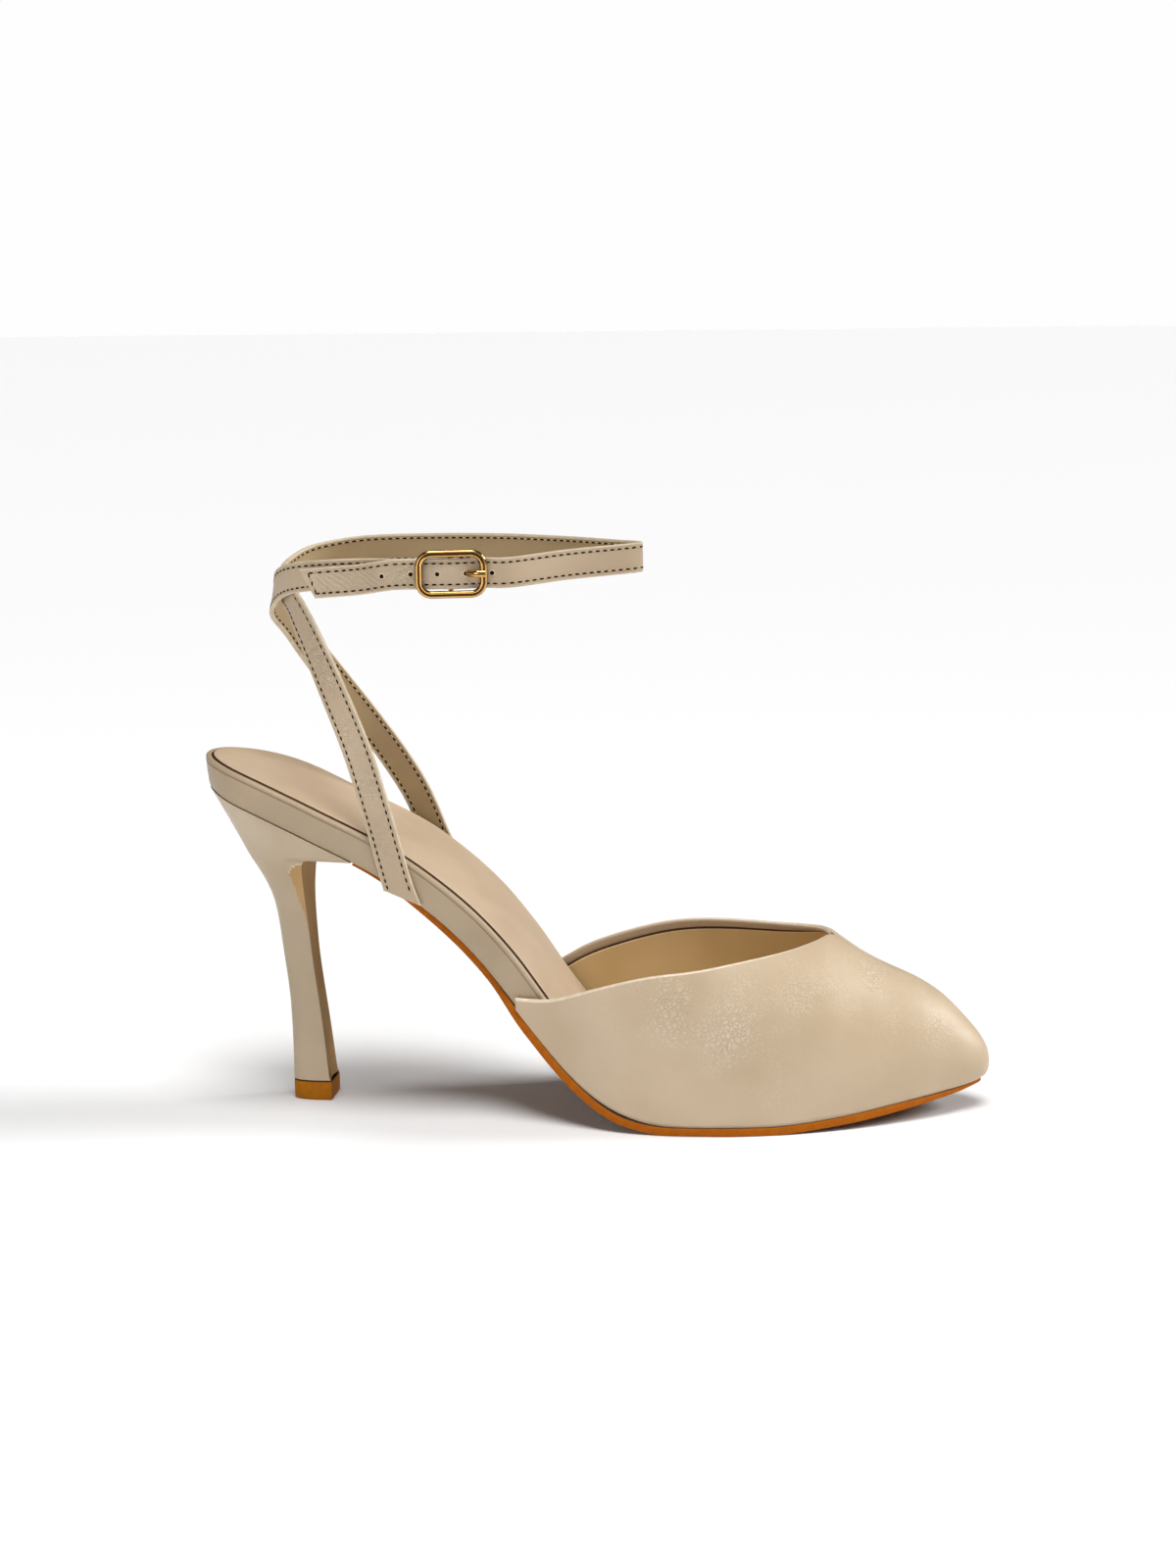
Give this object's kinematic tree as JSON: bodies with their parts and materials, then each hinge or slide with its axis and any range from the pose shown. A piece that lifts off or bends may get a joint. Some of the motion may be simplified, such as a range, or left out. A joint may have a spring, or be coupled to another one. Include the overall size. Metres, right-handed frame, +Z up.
{
  "type": "ankle strap pump",
  "caption": "Women's pointed pump with a hollow vamp, open waist and slim high heel, and crossed straps that buckle round the ankle. Right shoe.",
  "frame": {"origin": "middle of the pump's overall box, on the floor under it", "axes": "+X from the heel to the toe, -Y towards the outer side of this right shoe, +Z up"},
  "size_m": [0.2337, 0.0706, 0.1681],
  "materials": {
    "beige_leather": "soft gloss, fine crinkled grain",
    "strap_leather": "soft gloss, crinkled grain, stitched edges",
    "footbed_leather": "smooth, soft gloss",
    "heel_leather": "smooth, soft gloss",
    "sock_leather": "smooth, matte",
    "tan_outsole": "smooth orange brown",
    "tan_top_piece": "smooth orange brown",
    "gold_metal": "polished gold plate"
  },
  "bodies": {
    "root": {"outsole": "tan_outsole", "heel": "heel_leather", "top_piece": "tan_top_piece", "footbed": "footbed_leather", "insole_sock": "sock_leather", "upper": "beige_leather", "strap_lateral": "strap_leather", "strap_medial": "strap_leather", "buckle_frame": "gold_metal", "buckle_prong": "gold_metal"}
  },
  "joints": []
}
